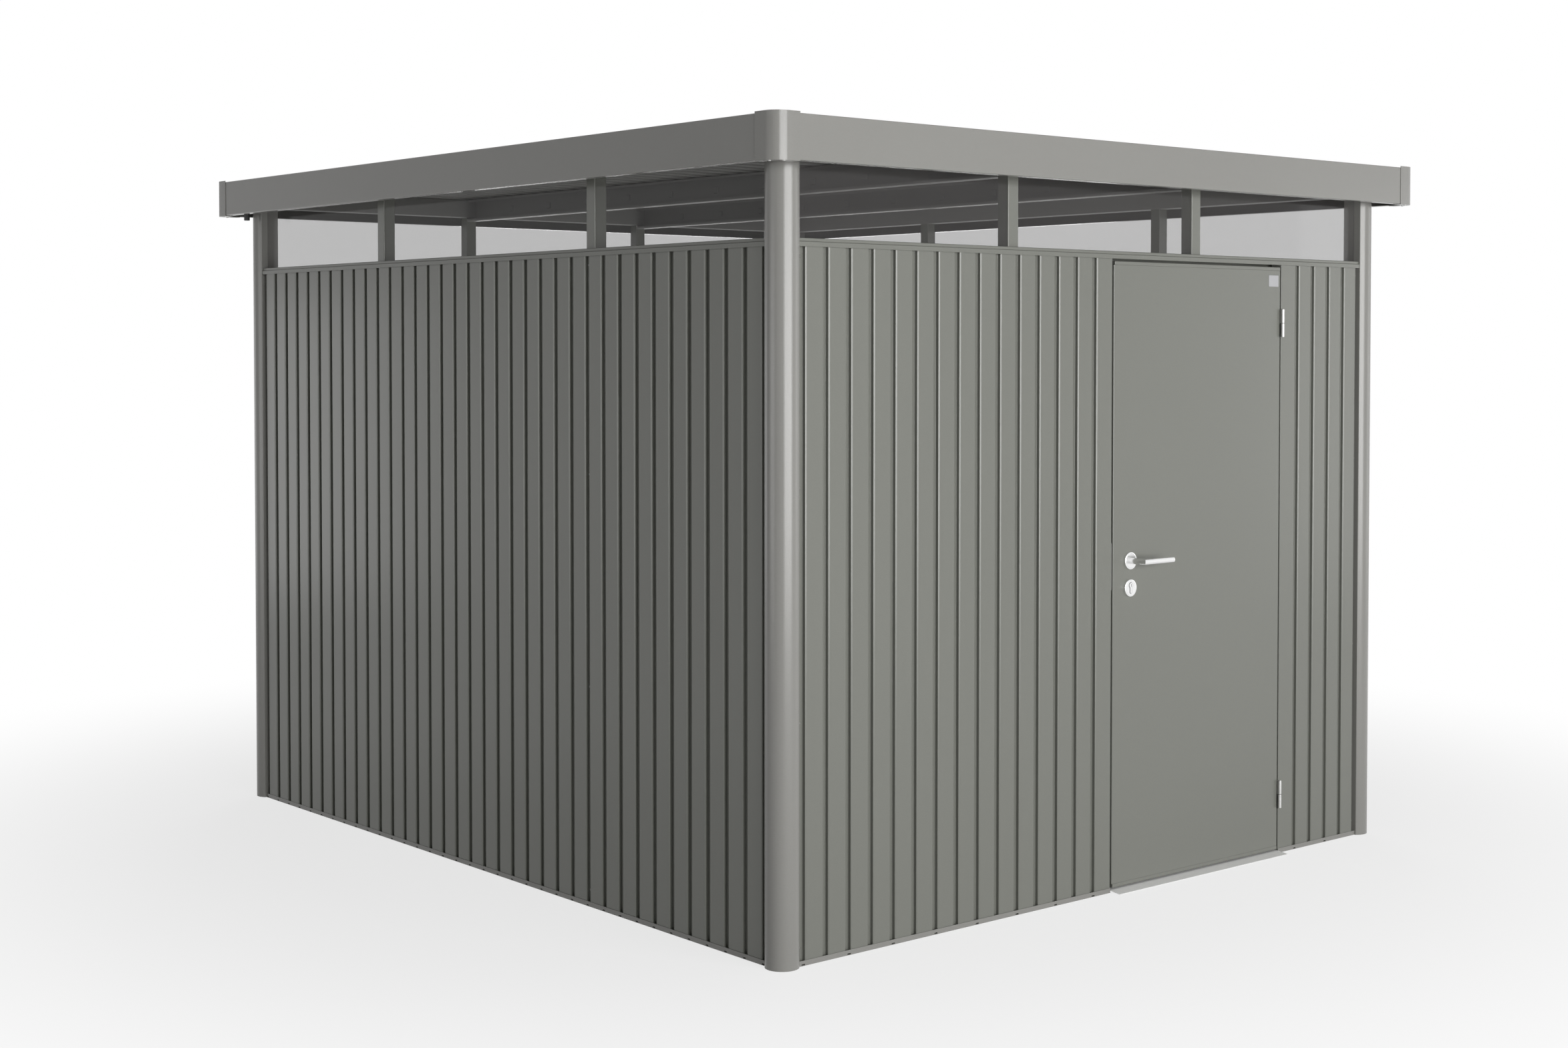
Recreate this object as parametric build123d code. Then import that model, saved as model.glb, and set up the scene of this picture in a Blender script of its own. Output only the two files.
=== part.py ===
from build123d import *
import math
import os

# Overall layout: the walls are ribbed sheet, laid out in equal bays from corner to corner
groove_pitch = 80
front_bays = 30
side_bays = 35
corner_inset = 70
body_width = front_bays * groove_pitch + 2 * corner_inset
body_depth = side_bays * groove_pitch + 2 * corner_inset

# Bays counted from a wall's left corner to its panel seams, window posts and doorway
front_seam_counts = (0, 10, 14)
front_post_counts = (10, 20)
side_post_counts = (10, 25)
door_counts = (15, 25)

# Heights from the ground up: the wall's head, the window band, the roof's edge beams and the fascia
head_height = 1875
head_rise = 22
window_height = 213
edge_beam_height = 67
fascia_rise = 9
fascia_height = 119

# Wall sheet
sheet = 1
face_setback = 2
groove_width = 25
groove_depth = 11.5
lip_run = 3.9
lip_drop = 1.8
front_groove_shift = 7
seat_gap = 0.3

# Corner posts
post_radius = 46
post_centre = 29
post_side = 60
post_wall = 2

# Base rails
base_sheet = 1.5
base_lip = 14
base_width = 40
base_back = 30

# Head rails under the windows
head_sheet = 1.5
head_nose = 4
head_step = 13
head_shelf = 60
head_drop = 15

# Windows
window_post = 42
window_post_setback = 16
window_post_wall = 2
pane_setback = 18
pane_thickness = 3

# Roof frame
edge_beam_setback = 14
edge_beam_width = 44
beam_sheet = 2
roof_beam_height = 82
roof_beam_width = 40
roof_beam_lip = 9

# Roof deck
deck_overhang = 85
deck_sheet = 1
rib_height = 18
rib_top = 30
rib_flank = 10
rib_count = 36

# Fascia
roof_overhang = 102
fascia_sheet = 1.5
fascia_return = 28
fascia_top = 30
corner_cap_arm = 80
corner_cap_radius = 40
corner_cap_sheet = 2
corner_cap_rise = 4
corner_cap_return = 30

# Rain outlet
outlet_radius = 10
outlet_wall = 2
outlet_drop = 20
outlet_inset = 60
outlet_rib_count = 34

# Doorway and door: the gap on the lock side is wider, so that the leaf's corner swings clear
doorway_shift = 2.5
door_gap = 5
latch_gap = 7.5
door_thickness = 34
door_top_gap = 7
door_strip = 11
door_strip_proud = 1
door_skin = 1
threshold_height = 8
threshold_reach = 38
threshold_nose = 3
threshold_sheet = 1.5

# Lever handle and lock
handle_height = 981
lock_spacing = 81
handle_backset = 71
rose_radius = 26
rose_thickness = 9
spindle_radius = 5
spindle_clearance = 0.3
lever_radius = 9
lever_standoff = 54
lever_length = 126
escutcheon_radius = 26
cylinder_radius = 8.5
cylinder_web = 10
cylinder_drop = 24
cylinder_proud = 2
cylinder_clearance = 0.3
strike_drop = 2
strike_height = 139
strike_width = 24
strike_sheet = 1

# Door hinges
hinge_inset = 133
hinge_length = 88
hinge_radius = 6
hinge_stand = 9
hinge_plate = 1.5
hinge_plate_depth = 24
pin_radius = 3
pin_clearance = 0.08
knuckle_gap = 0.6
pin_reach_share = 0.4

overrun = 1

# Derived levels and places, measured along and into a wall from its outer left corner
sill_height = head_height + head_rise
window_top = sill_height + window_height
deck_height = window_top + edge_beam_height
roof_top = deck_height + rib_height + fascia_rise
fascia_bottom = roof_top - fascia_height
panel_bottom = base_sheet
panel_top = sill_height - head_sheet
groove_floor = face_setback + groove_depth
post_front = post_centre - math.sqrt(post_radius ** 2 - (post_side - post_centre) ** 2)
frame_start = post_side + seat_gap
door_left = corner_inset + door_counts[0] * groove_pitch + doorway_shift
door_right = corner_inset + door_counts[1] * groove_pitch + doorway_shift
leaf_left = door_left + latch_gap
leaf_right = door_right - door_gap
leaf_front = face_setback
leaf_back = leaf_front + door_thickness
door_bottom = threshold_height + door_gap
door_top = head_height - door_top_gap
leaf_bottom = door_bottom + door_strip
leaf_top = door_top - door_strip
handle_place = leaf_left + handle_backset
lock_height = handle_height - lock_spacing
strike_bottom = lock_height - strike_drop
hinge_heights = (door_bottom + hinge_inset, door_top - hinge_inset - hinge_length)
hinge_place = (leaf_right + door_right) / 2
hinge_depth = face_setback - hinge_stand
jamb_depth = base_width - base_sheet - seat_gap
rib_pitch = (body_depth + 2 * deck_overhang - rib_top) / rib_count

os.makedirs("parts", exist_ok=True)

# Each wall's frame: x runs along the wall as seen from outside, y runs inward, z runs up
walls = {
    "front": Plane(origin=(-body_width / 2, -body_depth / 2, 0), x_dir=(1, 0, 0), z_dir=(0, 0, 1)),
    "right": Plane(origin=(body_width / 2, -body_depth / 2, 0), x_dir=(0, 1, 0), z_dir=(0, 0, 1)),
    "back": Plane(origin=(body_width / 2, body_depth / 2, 0), x_dir=(-1, 0, 0), z_dir=(0, 0, 1)),
    "left": Plane(origin=(-body_width / 2, body_depth / 2, 0), x_dir=(0, -1, 0), z_dir=(0, 0, 1)),
}
wall_lengths = {"front": body_width, "right": body_depth, "back": body_width, "left": body_depth}
wall_bays = {"front": front_bays, "right": side_bays, "back": front_bays, "left": side_bays}
wall_posts = {
    "front": front_post_counts,
    "right": side_post_counts,
    "back": front_post_counts,
    "left": side_post_counts,
}
wall_corners = {"front": "front_left", "right": "front_right", "back": "back_right", "left": "back_left"}


def save(name, solids):
    """Write one node, as a single solid or as several that don't touch."""
    shape = solids[0] if len(solids) == 1 else Compound(children=list(solids))
    export_step(shape, f"parts/{name}.step")


def bent_sheet(points, thickness):
    """Outline of a folded sheet: its face runs through the points, its metal lies to their left."""
    steps = [(b[0] - a[0], b[1] - a[1]) for a, b in zip(points, points[1:])]
    normals = [(-dy / math.hypot(dx, dy), dx / math.hypot(dx, dy)) for dx, dy in steps]
    befores = normals[:1] + normals
    afters = normals + normals[-1:]
    inner = []
    for point, before, after in zip(points, befores, afters):
        scale = thickness / (1 + before[0] * after[0] + before[1] * after[1])
        inner.append((point[0] + (before[0] + after[0]) * scale, point[1] + (before[1] + after[1]) * scale))
    return points + inner[::-1]


def upright(outline, bottom, top):
    """Solid standing on an outline drawn along and into the wall."""
    face = make_face(Polyline(*outline, close=True))
    return extrude(Plane.XY.offset(bottom) * face, amount=top - bottom, dir=(0, 0, 1))


def lengthwise(outline, start, end):
    """Solid running along the wall, from an outline drawn inward and up."""
    face = make_face(Polyline(*outline, close=True))
    plane = Plane(origin=(start, 0, 0), x_dir=(0, 1, 0), z_dir=(1, 0, 0))
    return extrude(plane * face, amount=end - start, dir=(1, 0, 0))


def block(low, high):
    """Box between two corners."""
    size = [b - a for a, b in zip(low, high)]
    return Pos(*low) * Box(*size, align=(Align.MIN, Align.MIN, Align.MIN))


def disc(radius, place, height, start, end):
    """Round solid whose axis runs into the wall."""
    plane = Plane(origin=(place, start, height), x_dir=(1, 0, 0), z_dir=(0, 1, 0))
    return extrude(plane * Circle(radius), amount=end - start, dir=(0, 1, 0))


def bay(index):
    """Place of a bay's line along its wall."""
    return corner_inset + index * groove_pitch


def front_groove(index):
    """Place of a groove's centre along the front wall, where the ribs lie a little to the right."""
    return bay(index) + front_groove_shift


def lip(centre, side):
    """Groove edge, from its floor out to the wall's face, on the groove's left (-1) or right (1)."""
    mouth = centre + side * groove_width / 2
    flank = mouth - side * lip_run
    return [(flank, groove_floor), (flank, face_setback + lip_drop), (mouth, face_setback)]


def panel(first, last, bays, groove):
    """Ribbed wall panel between two grooves, lapping to the posts at the wall's ends."""
    length = bays * groove_pitch + 2 * corner_inset
    start = frame_start if first == 0 else groove(first) + seat_gap
    end = length - frame_start if last == bays else groove(last) - seat_gap
    points = [(start, groove_floor)]
    for index in range(first, last):
        points += lip(groove(index), 1) + lip(groove(index + 1), -1)[::-1]
    points.append((end, groove_floor))
    return upright(bent_sheet(points, sheet), panel_bottom, panel_top)


def corner_post():
    """Hollow post: a round outer skin with flat sides for the two walls that meet at it."""
    flats = [(post_side, post_front), (post_side, post_side), (post_front, post_side)]
    crown = post_centre - post_radius / math.sqrt(2)
    outline = Polyline(*flats) + ThreePointArc(flats[-1], (crown, crown), flats[0])
    section = make_face(outline.edges())
    section -= offset(section, amount=-post_wall, kind=Kind.INTERSECTION)
    return extrude(section, amount=window_top, dir=(0, 0, 1))


def base_rail(start, end):
    """Channel that the wall sheets stand in."""
    points = [(0, base_lip), (0, 0), (base_width, 0), (base_width, base_back)]
    return lengthwise(bent_sheet(points, base_sheet), start, end)


def head_rail(length):
    """Stepped rail that caps the wall sheets and carries the windows."""
    nose_top = head_height + head_step
    points = [
        (head_shelf, head_height - head_drop),
        (head_shelf, sill_height),
        (0, sill_height),
        (0, nose_top),
        (-head_nose, nose_top),
        (-head_nose, head_height),
    ]
    return lengthwise(bent_sheet(points, head_sheet), frame_start, length - frame_start)


def window_posts(places):
    """Square tubes between the window panes."""
    tubes = []
    for index in places:
        low = bay(index) - window_post / 2
        outer = block(
            (low, window_post_setback, sill_height),
            (low + window_post, window_post_setback + window_post, window_top),
        )
        bore = block(
            (low + window_post_wall, window_post_setback + window_post_wall, sill_height - overrun),
            (
                low + window_post - window_post_wall,
                window_post_setback + window_post - window_post_wall,
                window_top + overrun,
            ),
        )
        tubes.append(outer - bore)
    return tubes


def window_panes(places, length):
    """Clear sheets between the window posts and the corner posts."""
    half = window_post / 2 + seat_gap
    starts = [frame_start] + [bay(index) + half for index in places]
    ends = [bay(index) - half for index in places] + [length - frame_start]
    return [
        block((start, pane_setback, sill_height), (end, pane_setback + pane_thickness, window_top))
        for start, end in zip(starts, ends)
    ]


def edge_beam(start, end):
    """Channel on top of a wall, open to the outside, under the edge of the roof deck."""
    inner = edge_beam_setback + edge_beam_width
    points = [
        (edge_beam_setback, window_top),
        (inner, window_top),
        (inner, deck_height),
        (edge_beam_setback, deck_height),
    ]
    return lengthwise(bent_sheet(points, beam_sheet), start, end)


def roof_beam(place):
    """Lipped channel from front to back under the deck, open towards the left wall."""
    left = place - roof_beam_width / 2
    right = place + roof_beam_width / 2
    bottom = deck_height - roof_beam_height
    points = [
        (left, bottom + roof_beam_lip),
        (left, bottom),
        (right, bottom),
        (right, deck_height),
        (left, deck_height),
        (left, deck_height - roof_beam_lip),
    ]
    face = make_face(Polyline(*bent_sheet(points, beam_sheet), close=True))
    start = edge_beam_setback + edge_beam_width + seat_gap
    plane = Plane(origin=(0, start, 0), x_dir=(1, 0, 0), z_dir=(0, -1, 0))
    return extrude(plane * face, amount=body_depth - 2 * start, dir=(0, 1, 0))


def roof_deck():
    """Ribbed roof sheet, its ribs running from side to side."""
    valley = deck_height + deck_sheet
    crest = deck_height + rib_height
    points = []
    for index in range(rib_count + 1):
        start = index * rib_pitch - deck_overhang
        points += [(start, crest), (start + rib_top, crest)]
        if index < rib_count:
            points += [(start + rib_top + rib_flank, valley), (start + rib_pitch - rib_flank, valley)]
    return lengthwise(bent_sheet(points, -deck_sheet), -deck_overhang, body_width + deck_overhang)


def fascia(length):
    """Folded roof edge that stands on the deck's ribs and hangs down outside it."""
    crest = deck_height + rib_height
    points = [
        (fascia_top - roof_overhang, crest),
        (fascia_top - roof_overhang, roof_top),
        (-roof_overhang, roof_top),
        (-roof_overhang, fascia_bottom),
        (fascia_return - roof_overhang, fascia_bottom),
    ]
    end = corner_cap_radius - roof_overhang
    return lengthwise(bent_sheet(points, fascia_sheet), end, length - end)


def corner_cap():
    """Rounded cover over the joint of two fascias, with a flange under them."""
    outside = -roof_overhang - corner_cap_sheet
    arm = corner_cap_arm - roof_overhang
    outer_radius = corner_cap_radius + corner_cap_sheet

    def ring(inset):
        edge = outside + inset
        radius = outer_radius - inset
        bend = edge + radius
        crown = bend - radius / math.sqrt(2)
        return edge, bend, crown

    def band(width, bottom, top):
        outer, bend, crown = ring(0)
        inner, inner_bend, inner_crown = ring(width)
        edges = [
            Line((arm, outer), (bend, outer)),
            ThreePointArc((bend, outer), (crown, crown), (outer, bend)),
            Line((outer, bend), (outer, arm)),
            Line((outer, arm), (inner, arm)),
            Line((inner, arm), (inner, inner_bend)),
            ThreePointArc((inner, inner_bend), (inner_crown, inner_crown), (inner_bend, inner)),
            Line((inner_bend, inner), (arm, inner)),
            Line((arm, inner), (arm, outer)),
        ]
        face = Plane.XY.offset(bottom) * make_face(edges)
        return extrude(face, amount=top - bottom, dir=(0, 0, 1))

    flange_bottom = fascia_bottom - corner_cap_sheet
    skin = band(corner_cap_sheet, flange_bottom, roof_top + corner_cap_rise)
    flange = band(corner_cap_return, flange_bottom, fascia_bottom)
    return skin + flange


def rain_outlet():
    """Short pipe down from one of the deck's valleys, near the back of the left side."""
    valley_start = outlet_rib_count * rib_pitch - deck_overhang + rib_top
    valley_middle = valley_start + (rib_pitch - rib_top) / 2
    place = Pos(body_depth - valley_middle, -outlet_inset, fascia_bottom - outlet_drop)
    height = deck_height - fascia_bottom + outlet_drop
    align = (Align.CENTER, Align.CENTER, Align.MIN)
    outside = Cylinder(outlet_radius, height, align=align)
    bore = Cylinder(outlet_radius - outlet_wall, height, align=align)
    return place * (outside - bore)


def door_jamb(left):
    """Flat wall strip beside the doorway, folded in along it."""
    outer = front_groove(door_counts[0] - 1) if left else front_groove(door_counts[1] + 1)
    side = 1 if left else -1
    edge = door_left if left else door_right
    points = [(outer + side * seat_gap, groove_floor)] + lip(outer, side)
    points += [(edge, face_setback), (edge, jamb_depth)]
    thickness = sheet if left else -sheet
    return upright(bent_sheet(points, thickness), panel_bottom, panel_top)


def threshold():
    """Folded sill plate between the base rails, sloping down to the ground in front of the door."""
    points = [
        (-threshold_reach, threshold_nose),
        (0, threshold_height),
        (base_width, threshold_height),
        (base_width, 0),
    ]
    return lengthwise(bent_sheet(points, -threshold_sheet), door_left + seat_gap, door_right - seat_gap)


def strike_plate():
    """Plate on the lock side of the doorway, its edge level with the wall's face."""
    return block(
        (door_left, face_setback, strike_bottom),
        (door_left + strike_sheet, face_setback + strike_width, strike_bottom + strike_height),
    )


def lock_outline(clearance):
    """Keyhole-shaped section of the lock cylinder, grown by a clearance."""
    half = cylinder_web / 2 + clearance
    tail = Pos(0, -cylinder_drop / 2) * Rectangle(2 * half, cylinder_drop)
    foot = Pos(0, -cylinder_drop) * Circle(half)
    return Circle(cylinder_radius + clearance) + tail + foot


def lock_solid(clearance, start, end):
    """The lock cylinder's shape along a stretch through the door."""
    plane = Plane(origin=(handle_place, end, lock_height), x_dir=(1, 0, 0), z_dir=(0, -1, 0))
    return extrude(plane * lock_outline(clearance), amount=end - start, dir=(0, -1, 0))


def spindle_bore(start, end):
    """Room for the handle's spindle along a stretch through the door."""
    radius = spindle_radius + spindle_clearance
    return disc(radius, handle_place, handle_height, start - overrun, end + overrun)


def door_leaf():
    """Hollow leaf of two skins, with holes for the spindle and the lock."""
    low = (leaf_left, leaf_front, leaf_bottom)
    high = (leaf_right, leaf_back, leaf_top)
    inside = block([a + door_skin for a in low], [b - door_skin for b in high])
    lock = lock_solid(cylinder_clearance, leaf_front - overrun, leaf_back + overrun)
    return block(low, high) - inside - spindle_bore(leaf_front, leaf_back) - lock


def door_strips():
    """Capping strips along the leaf's bottom and top."""
    front = leaf_front - door_strip_proud
    return [
        block((leaf_left, front, low), (leaf_right, leaf_back, low + door_strip))
        for low in (door_bottom, leaf_top)
    ]


def handle_plates():
    """Round plates behind the levers and around the lock cylinder, outside and inside."""
    plates = []
    for start in (leaf_front - rose_thickness, leaf_back):
        end = start + rose_thickness
        rose = disc(rose_radius, handle_place, handle_height, start, end)
        plates.append(rose - spindle_bore(start, end))
        plate = disc(escutcheon_radius, handle_place, lock_height, start, end)
        plates.append(plate - lock_solid(cylinder_clearance, start - overrun, end + overrun))
    return plates


def lever_arm(base, side):
    """Round bar that stands off the door and turns towards the hinges at a mitred corner."""
    tip = base + side * lever_standoff
    path = Polyline(
        (handle_place, base, handle_height),
        (handle_place, tip, handle_height),
        (handle_place + lever_length, tip, handle_height),
    )
    section = Plane(origin=(handle_place, base, handle_height), z_dir=(0, side, 0)) * Circle(lever_radius)
    return sweep(section, path=path, transition=Transition.RIGHT)


def door_lever():
    """Both levers on their common spindle."""
    front = leaf_front - rose_thickness - spindle_clearance
    back = leaf_back + rose_thickness + spindle_clearance
    spindle = disc(spindle_radius, handle_place, handle_height, front - lever_radius, back + lever_radius)
    return spindle + lever_arm(front, -1) + lever_arm(back, 1)


def knuckle(bottom, top):
    """Round hinge barrel."""
    place = Pos(hinge_place, hinge_depth, bottom)
    return place * Cylinder(hinge_radius, top - bottom, align=(Align.CENTER, Align.CENTER, Align.MIN))


def pin(bottom, top, radius):
    """Hinge pin, or its bore."""
    place = Pos(hinge_place, hinge_depth, bottom)
    return place * Cylinder(radius, top - bottom, align=(Align.CENTER, Align.CENTER, Align.MIN))


def frame_hinges():
    """Lower half of each hinge, fixed to the jamb, with its pin."""
    solids = []
    for low in hinge_heights:
        middle = low + hinge_length / 2 - knuckle_gap / 2
        plate = block(
            (door_right - hinge_plate, hinge_depth, low),
            (door_right, face_setback + hinge_plate_depth, middle),
        )
        reach = middle + hinge_length * pin_reach_share
        solids.append(knuckle(low, middle) + plate + pin(low, reach, pin_radius))
    return solids


def door_hinges():
    """Upper half of each hinge, fixed to the leaf's edge and bored for the pin."""
    solids = []
    for low in hinge_heights:
        middle = low + hinge_length / 2 + knuckle_gap / 2
        top = low + hinge_length
        plate = block(
            (leaf_right, hinge_depth, middle),
            (leaf_right + hinge_plate, face_setback + hinge_plate_depth, top),
        )
        bore_top = middle + hinge_length * pin_reach_share + knuckle_gap
        bore = pin(middle - overrun, bore_top, pin_radius + pin_clearance)
        solids.append(knuckle(middle, top) + plate - bore)
    return solids


# Pieces that every wall and corner has
edge_beams = []
fascia_corners = []
for name, wall in walls.items():
    length = wall_lengths[name]
    corner = wall_corners[name]
    places = wall_posts[name]
    save(f"corner_post_{corner}", [wall * corner_post()])
    save(f"head_rail_{name}", [wall * head_rail(length)])
    save(f"window_posts_{name}", [wall * tube for tube in window_posts(places)])
    save(f"window_panes_{name}", [wall * pane for pane in window_panes(places, length)])
    save(f"fascia_{name}", [wall * fascia(length)])
    across = name in ("front", "back")
    inset = edge_beam_setback if across else edge_beam_setback + edge_beam_width + seat_gap
    edge_beams.append(wall * edge_beam(inset, length - inset))
    fascia_corners.append(wall * corner_cap())
save("edge_beams", edge_beams)
save("fascia_corners", fascia_corners)

# Closed walls, in three panels each
for name in ("right", "back", "left"):
    wall = walls[name]
    bays = wall_bays[name]
    seams = (0,) + wall_posts[name] + (bays,)
    save(f"{name}_wall", [wall * panel(a, b, bays, bay) for a, b in zip(seams, seams[1:])])
    save(f"base_rail_{name}", [wall * base_rail(frame_start, wall_lengths[name] - frame_start)])

# Front wall, beside the doorway
front = walls["front"]
seam_pairs = zip(front_seam_counts, front_seam_counts[1:])
left_panels = [panel(a, b, front_bays, front_groove) for a, b in seam_pairs]
right_panel = panel(door_counts[1] + 1, front_bays, front_bays, front_groove)
save("front_wall_left", [front * solid for solid in left_panels])
save("front_wall_right", [front * right_panel])
front_rails = [(frame_start, door_left), (door_right, body_width - frame_start)]
save("base_rail_front", [front * base_rail(start, end) for start, end in front_rails])
save("door_jamb_left", [front * door_jamb(True)])
save("door_jamb_right", [front * door_jamb(False)])
save("door_threshold", [front * threshold()])
save("strike_plate", [front * strike_plate()])

# Roof
save("roof_beams", [front * roof_beam(bay(index)) for index in front_post_counts])
save("roof_deck", [front * roof_deck()])
save("rain_outlet", [walls["left"] * rain_outlet()])

# Door with its lock, handle and hinges
save("door_leaf", [front * door_leaf()])
save("door_strips", [front * strip for strip in door_strips()])
save("handle_plates", [front * plate for plate in handle_plates()])
cylinder_reach = rose_thickness + cylinder_proud
save("lock_cylinder", [front * lock_solid(0, leaf_front - cylinder_reach, leaf_back + cylinder_reach)])
save("door_lever", [front * door_lever()])
save("frame_hinges", [front * solid for solid in frame_hinges()])
save("door_hinges", [front * solid for solid in door_hinges()])
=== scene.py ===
import math

import bmesh
import bpy
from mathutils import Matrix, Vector


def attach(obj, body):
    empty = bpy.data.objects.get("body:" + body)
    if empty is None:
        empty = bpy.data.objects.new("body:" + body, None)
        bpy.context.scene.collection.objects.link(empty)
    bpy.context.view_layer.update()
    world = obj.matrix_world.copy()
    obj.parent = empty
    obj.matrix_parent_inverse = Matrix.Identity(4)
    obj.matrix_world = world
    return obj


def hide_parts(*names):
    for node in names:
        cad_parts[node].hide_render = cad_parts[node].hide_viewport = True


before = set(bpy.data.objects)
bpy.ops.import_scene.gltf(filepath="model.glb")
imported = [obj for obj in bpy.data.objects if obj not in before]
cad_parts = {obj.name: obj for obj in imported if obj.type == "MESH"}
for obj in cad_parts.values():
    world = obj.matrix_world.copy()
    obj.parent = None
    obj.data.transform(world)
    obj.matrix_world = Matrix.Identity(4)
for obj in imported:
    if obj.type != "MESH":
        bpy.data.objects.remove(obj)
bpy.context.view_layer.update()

# Sizes in metres: the body, its bays and its levels
body_width = 2.540
body_depth = 2.940
pitch = 0.080
corner_inset = 0.070
front_bays = 30
side_bays = 35
front_shift = 0.007
sill = 1.897
head = 1.875
window_top = 2.110
deck_level = 2.177
fascia_low = 2.085
roof_top = 2.204
seat_gap = 0.0003
frame_start = 0.0603

# Wall sheet
sheet = 0.001
face = 0.002
floor_depth = 0.0135
mouth_half = 0.0125
lip_run = 0.0039
lip_drop = 0.0018
lip_bend = 0.0015
fold_bend = 0.0012
panel_low = 0.0015
panel_high = 1.8955

# Corner posts
post_radius = 0.046
post_centre = 0.029
post_side = 0.060
post_wall = 0.002
post_edge_bend = 0.002

# Folds that several sheets share
wide_fold = 0.003
tight_fold = 0.002

# Base rails and the drain slots in their lips
rail_sheet = 0.0015
rail_lip = 0.014
rail_width = 0.040
rail_back = 0.030
slot_half = 0.0058
slot_low = 0.0010
slot_high = 0.0052
slot_steps = {"front": 2, "right": 1, "back": 2, "left": 1}

# Head rails
head_sheet = 0.0015
head_nose = 0.004
head_step = 0.013
head_shelf = 0.060
head_drop = 0.015
nose_fold = 0.0015

# Windows
tube_width = 0.042
tube_depth = 0.016
tube_wall = 0.002
tube_bend = 0.003
pane_depth = 0.018
pane_thickness = 0.003
pane_bend = 0.0006
pane_bevel = 0.0005

# Roof
beam_depth = 0.014
beam_width = 0.044
beam_sheet = 0.002
roof_beam_height = 0.082
roof_beam_width = 0.040
roof_beam_lip = 0.009
deck_overhang = 0.085
deck_sheet = 0.001
rib_height = 0.018
rib_top = 0.030
rib_flank = 0.010
rib_count = 36
rib_pitch = (body_depth + 2 * deck_overhang - rib_top) / rib_count
overhang = 0.102
fascia_sheet = 0.0015
fascia_return = 0.028
fascia_top = 0.030
cap_arm = 0.080
cap_radius = 0.040
cap_sheet = 0.002
cap_rise = 0.004
cap_return = 0.030

# Rain outlet
outlet_radius = 0.010
outlet_wall = 0.002
outlet_drop = 0.020
outlet_inset = 0.060
outlet_rib = 34
outlet_rim = 0.0005

# Doorway and door
door_grooves = (14, 26)
door_left = 1.2725
door_right = 2.0725
leaf_left = 1.280
leaf_right = 2.0675
leaf_front = 0.002
leaf_back = 0.036
leaf_bend = 0.0025
leaf_bevel = 0.0005
door_low = 0.013
door_high = 1.868
strip_height = 0.011
strip_proud = 0.001
strip_inset = 0.003
strip_inset_hinge = 0.001
strip_bend = 0.0015
strip_bevel = 0.0012
jamb_depth = 0.0382
threshold_reach = 0.038
threshold_nose = 0.003
threshold_height = 0.008
threshold_sheet = 0.0015
threshold_fold = 0.004
strike_low = 0.898
strike_height = 0.139
strike_width = 0.024
strike_sheet = 0.001
strike_hole_depths = (0.007, 0.017)
strike_hole_levels = (0.020, 0.050, 0.080, 0.115)

# Lever, lock and hinges
handle_place = 1.351
handle_height = 0.981
lock_height = 0.900
rose_radius = 0.026
rose_thickness = 0.009
rose_rim = 0.0020
rose_rim_in = 0.0006
rose_rim_drop = 0.0007
rose_line_inset = 0.0045
rose_line_half = 0.0005
rose_line_depth = 0.0006
spindle_radius = 0.005
spindle_gap = 0.0003
spindle_grip = 0.004
lever_radius = 0.009
lever_standoff = 0.054
lever_length = 0.126
lever_rim = 0.0015
rim_share = 0.3
cylinder_radius = 0.0085
cylinder_web = 0.010
cylinder_drop = 0.0195
cylinder_proud = 0.002
cylinder_rise = 0.008
cylinder_gap = 0.0008
gap_proud = 0.0003
gap_sink = 0.001
case_wall = 0.0012
plug_inset = 0.0014
plug_sink = 0.0004
plug_bevel = 0.0001
key_width = 0.0016
key_height = 0.0085
key_bend = 0.0006
key_sink = 0.0002
key_depth = 0.003
hinge_place = 2.070
hinge_depth = -0.007
hinge_heights = (0.146, 1.647)
hinge_length = 0.088
hinge_radius = 0.006
hinge_plate = 0.0015
hinge_plate_end = 0.026
hinge_rim = 0.0012
hinge_bevel = 0.0004
knuckle_gap = 0.0006

# Small fittings
rivet_radius = 0.0038
rivet_height = 0.0022
rivet_shift = 0.003
rivet_levels = (0.045, 0.635, 1.249, 1.850)
screw_radius = 0.0045
screw_height = 0.0020
screw_flank_share = 0.5
screw_crown_share = 0.7
head_sink = 0.0005
screw_near = -0.064
screw_far = -0.090
plate_left = 2.009
plate_right = 2.057
plate_low = 1.806
plate_high = 1.842
plate_thickness = 0.0015
plate_bend = 0.002
plate_bevel = 0.0004
plate_sink = 0.0005
emboss_size = 0.022
emboss_height = 0.0040
emboss_bevel = 0.0018
emboss_level = 2.134
emboss_first = 0.653
emboss_step = 0.247
emboss_count = 9

bend_step = math.radians(15)
round_steps = 48
keyhole_steps = 32
dome_steps = 5

# Each wall's frame: its outer left corner seen from outside, the way along it and the way inward
walls = {
    "front": (Vector((-body_width / 2, -body_depth / 2, 0)), Vector((1, 0, 0)), Vector((0, 1, 0))),
    "right": (Vector((body_width / 2, -body_depth / 2, 0)), Vector((0, 1, 0)), Vector((-1, 0, 0))),
    "back": (Vector((body_width / 2, body_depth / 2, 0)), Vector((-1, 0, 0)), Vector((0, -1, 0))),
    "left": (Vector((-body_width / 2, body_depth / 2, 0)), Vector((0, -1, 0)), Vector((1, 0, 0))),
}
lengths = {"front": body_width, "right": body_depth, "back": body_width, "left": body_depth}
bays = {"front": front_bays, "right": side_bays, "back": front_bays, "left": side_bays}
window_bays = {"front": (10, 20), "right": (10, 25), "back": (10, 20), "left": (10, 25)}
corners = {"front": "front_left", "right": "front_right", "back": "back_right", "left": "back_left"}


def bay(index):
    """Place of a bay's line along its wall."""
    return corner_inset + index * pitch


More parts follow.
